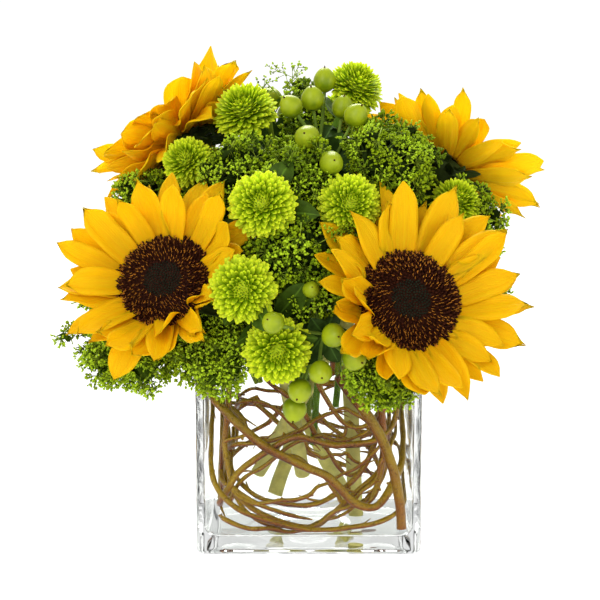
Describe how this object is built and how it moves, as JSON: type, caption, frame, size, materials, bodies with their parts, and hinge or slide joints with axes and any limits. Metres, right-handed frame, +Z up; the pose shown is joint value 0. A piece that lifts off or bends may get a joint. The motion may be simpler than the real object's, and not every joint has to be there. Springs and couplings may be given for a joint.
{
  "type": "sunflower arrangement in glass vase",
  "caption": "Cut sunflowers, lime button mums, green berries and leafy filler in a clear square glass vase, with curly willow coiled inside the glass.",
  "frame": {"origin": "middle of the vase's flat underside, on the surface it stands on", "axes": "+Z up; -Y towards the front, the side with the two large sunflower faces; +X to the right of a person who looks at the front"},
  "size_m": [0.281, 0.2847, 0.2774],
  "materials": {
    "clear_glass": "clear, polished",
    "willow_bark": "smooth orange-brown bark",
    "sunflower_disc": "dark brown florets, matte",
    "sunflower_green": "dark green, satin",
    "sunflower_yellow": "golden yellow petals, satin",
    "mum_lime": "lime green petals, satin",
    "berry_green": "yellow-green, glossy",
    "filler_green": "bright to dark green, matte"
  },
  "bodies": {
    "root": {"berries_back_low": "berry_green", "berries_back_top": "berry_green", "berries_low_front": "berry_green", "berries_top": "berry_green", "berries_upper": "berry_green", "filler_back_crown": "filler_green", "filler_back_skirt": "filler_green", "filler_back_skirt_left": "filler_green", "filler_back_skirt_right": "filler_green", "filler_back_upper_left": "filler_green", "filler_back_upper_right": "filler_green", "filler_corner_left": "filler_green", "filler_crown_centre": "filler_green", "filler_crown_left": "filler_green", "filler_crown_right": "filler_green", "filler_heart": "filler_green", "filler_heart_low": "filler_green", "filler_shoulder_left": "filler_green", "filler_shoulder_right": "filler_green", "filler_side_left": "filler_green", "filler_side_left_top": "filler_green", "filler_side_right": "filler_green", "filler_side_right_top": "filler_green", "filler_skirt_left": "filler_green", "filler_skirt_right": "filler_green", "filler_tip_left": "filler_green", "filler_tip_top": "filler_green", "mum_back_left": "mum_lime", "mum_back_right": "mum_lime", "mum_back_top": "mum_lime", "mum_centre_left": "mum_lime", "mum_centre_right": "mum_lime", "mum_far_left": "mum_lime", "mum_far_right": "mum_lime", "mum_low_front": "mum_lime", "mum_middle": "mum_lime", "mum_top_left": "mum_lime", "mum_top_right": "mum_lime", "sunflower_back_disc": "sunflower_disc", "sunflower_back_rays": "sunflower_yellow", "sunflower_back_stem": "sunflower_green", "sunflower_front_left_disc": "sunflower_disc", "sunflower_front_left_rays": "sunflower_yellow", "sunflower_front_left_stem": "sunflower_green", "sunflower_front_right_disc": "sunflower_disc", "sunflower_front_right_rays": "sunflower_yellow", "sunflower_front_right_stem": "sunflower_green", "sunflower_upper_left_disc": "sunflower_disc", "sunflower_upper_left_rays": "sunflower_yellow", "sunflower_upper_left_stem": "sunflower_green", "sunflower_upper_right_disc": "sunflower_disc", "sunflower_upper_right_rays": "sunflower_yellow", "sunflower_upper_right_stem": "sunflower_green", "vase": "clear_glass", "willow_brace": "willow_bark", "willow_hoop": "willow_bark", "willow_knotted": "willow_bark", "willow_low": "willow_bark", "willow_thick": "willow_bark", "willow_upright": "willow_bark"}
  },
  "joints": []
}
